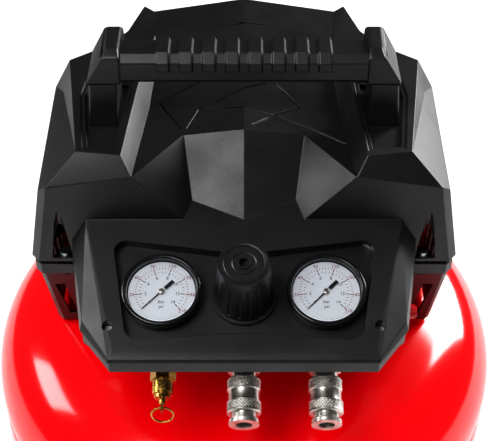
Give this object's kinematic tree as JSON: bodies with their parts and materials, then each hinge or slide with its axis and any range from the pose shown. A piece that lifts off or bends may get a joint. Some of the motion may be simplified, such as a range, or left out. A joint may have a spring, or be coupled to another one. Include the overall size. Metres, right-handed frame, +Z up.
{
  "type": "air compressor",
  "caption": "Portable pancake air compressor: flat round tank on rubber feet, oil-free piston pump under a faceted cover, carrying handle, gauge console, regulator and quick couplers.",
  "frame": {"origin": "on the floor, under the middle of the tank", "axes": "+Z up, front with the gauge console towards -Y, +X to the right seen from the front"},
  "size_m": [0.416, 0.416, 0.478],
  "materials": {
    "tank_red": "gloss",
    "cover_black": "satin",
    "knob_black": "satin",
    "nickel": "satin",
    "brass": "satin",
    "copper": "satin",
    "steel": "satin",
    "black_steel": "satin",
    "cast_aluminium": "matte",
    "rubber": "matte",
    "gauge_black": "gloss",
    "dial_white": "matte",
    "lens": "gloss",
    "pointer_black": "matte",
    "button_red": "gloss",
    "seal_brown": "matte"
  },
  "bodies": {
    "root": {"tank_upper_shell": "tank_red", "tank_lower_shell": "tank_red", "tank_seam_weld": "tank_red", "tank_ports": "tank_red", "tank_brackets": "tank_red", "tank_legs": "tank_red", "rubber_feet": "rubber", "foot_screws": "steel", "drain_valve_body": "brass", "base_plate": "black_steel", "isolator_mounts": "rubber", "motor_housing": "black_steel", "stator_core": "steel", "stator_windings": "copper", "shaft_bearings": "steel", "crankcase": "cast_aluminium", "cylinder_sleeve": "cast_aluminium", "valve_plate": "steel", "cylinder_head": "cast_aluminium", "head_bolts": "steel", "intake_filter": "knob_black", "discharge_tube": "copper", "check_valve": "brass", "supply_tube": "copper", "air_manifold": "cast_aluminium", "pressure_switch": "knob_black", "regulator_bonnet": "knob_black", "regulator_spring": "steel", "gauge_cases": "gauge_black", "gauge_dials": "dial_white", "gauge_lenses": "lens", "safety_valve_body": "brass", "coupler_body_centre": "nickel", "coupler_body_right": "nickel", "upper_cover": "cover_black", "lower_cover": "cover_black", "handle_grip": "cover_black", "handle_ends": "cover_black", "cover_screws": "steel", "cord_gland": "rubber"},
    "drain_stem": {"drain_valve_stem": "brass"},
    "crankshaft": {"rotor_core": "steel", "motor_shaft": "steel", "cooling_fan": "knob_black", "crank_disc": "cast_aluminium"},
    "piston_group": {"piston_rod": "cast_aluminium", "rod_bearing": "steel", "piston": "cast_aluminium", "piston_seal": "seal_brown"},
    "switch_button": {"power_button": "button_red"},
    "pressure_screw": {"regulator_screw": "steel"},
    "pressure_knob": {"regulator_knob": "knob_black"},
    "left_pointer": {"left_gauge_pointer": "pointer_black"},
    "right_pointer": {"right_gauge_pointer": "pointer_black"},
    "relief_stem": {"safety_valve_stem": "brass"},
    "relief_ring": {"safety_valve_ring": "brass"},
    "centre_sleeve": {"coupler_sleeve_centre": "nickel"},
    "right_sleeve": {"coupler_sleeve_right": "nickel"}
  },
  "joints": [
    {"name": "drain_turn", "type": "hinge", "parent": "root", "child": "drain_stem", "pos_m": [0, 0, 0.025], "axis": [0, 0, 1], "range_deg": [0, 720]},
    {"name": "crank_spin", "type": "hinge", "parent": "root", "child": "crankshaft", "pos_m": [0, 0.02, 0.322], "axis": [1, 0, 0], "continuous": true},
    {"name": "piston_slide", "type": "slide", "parent": "root", "child": "piston_group", "axis": [0, -1, 0], "range_m": [0, 0.02]},
    {"name": "button_push", "type": "slide", "parent": "root", "child": "switch_button", "axis": [-1, 0, 0], "range_m": [0, 0.003], "stiffness_N_per_m": 300},
    {"name": "pressure_turn", "type": "hinge", "parent": "root", "child": "pressure_screw", "pos_m": [0, -0.12653, 0.37013], "axis": [0, -0.3256, 0.9455], "range_deg": [-720, 720]},
    {"name": "knob_pull", "type": "slide", "parent": "pressure_screw", "child": "pressure_knob", "axis": [0, -0.3256, 0.9455], "range_m": [0, 0.004]},
    {"name": "left_pointer_turn", "type": "hinge", "parent": "root", "child": "left_pointer", "pos_m": [-0.0562, -0.12133, 0.355], "axis": [0, -0.3256, 0.9455], "range_deg": [-270, 0], "stiffness_Nm_per_rad": 0.0001},
    {"name": "right_pointer_turn", "type": "hinge", "parent": "root", "child": "right_pointer", "pos_m": [0.0562, -0.12133, 0.355], "axis": [0, -0.3256, 0.9455], "range_deg": [-270, 0], "stiffness_Nm_per_rad": 0.0001},
    {"name": "relief_pull", "type": "slide", "parent": "root", "child": "relief_stem", "axis": [0, -0.9455, -0.3256], "range_m": [0, 0.003], "stiffness_N_per_m": 2000},
    {"name": "relief_ring_swing", "type": "hinge", "parent": "relief_stem", "child": "relief_ring", "pos_m": [-0.0562, -0.17082, 0.29142], "axis": [1, 0, 0], "range_deg": [-90, 60]},
    {"name": "centre_sleeve_slide", "type": "slide", "parent": "root", "child": "centre_sleeve", "axis": [0, 0.9455, 0.3256], "range_m": [0, 0.004], "stiffness_N_per_m": 1500},
    {"name": "right_sleeve_slide", "type": "slide", "parent": "root", "child": "right_sleeve", "axis": [0, 0.9455, 0.3256], "range_m": [0, 0.004], "stiffness_N_per_m": 1500}
  ]
}
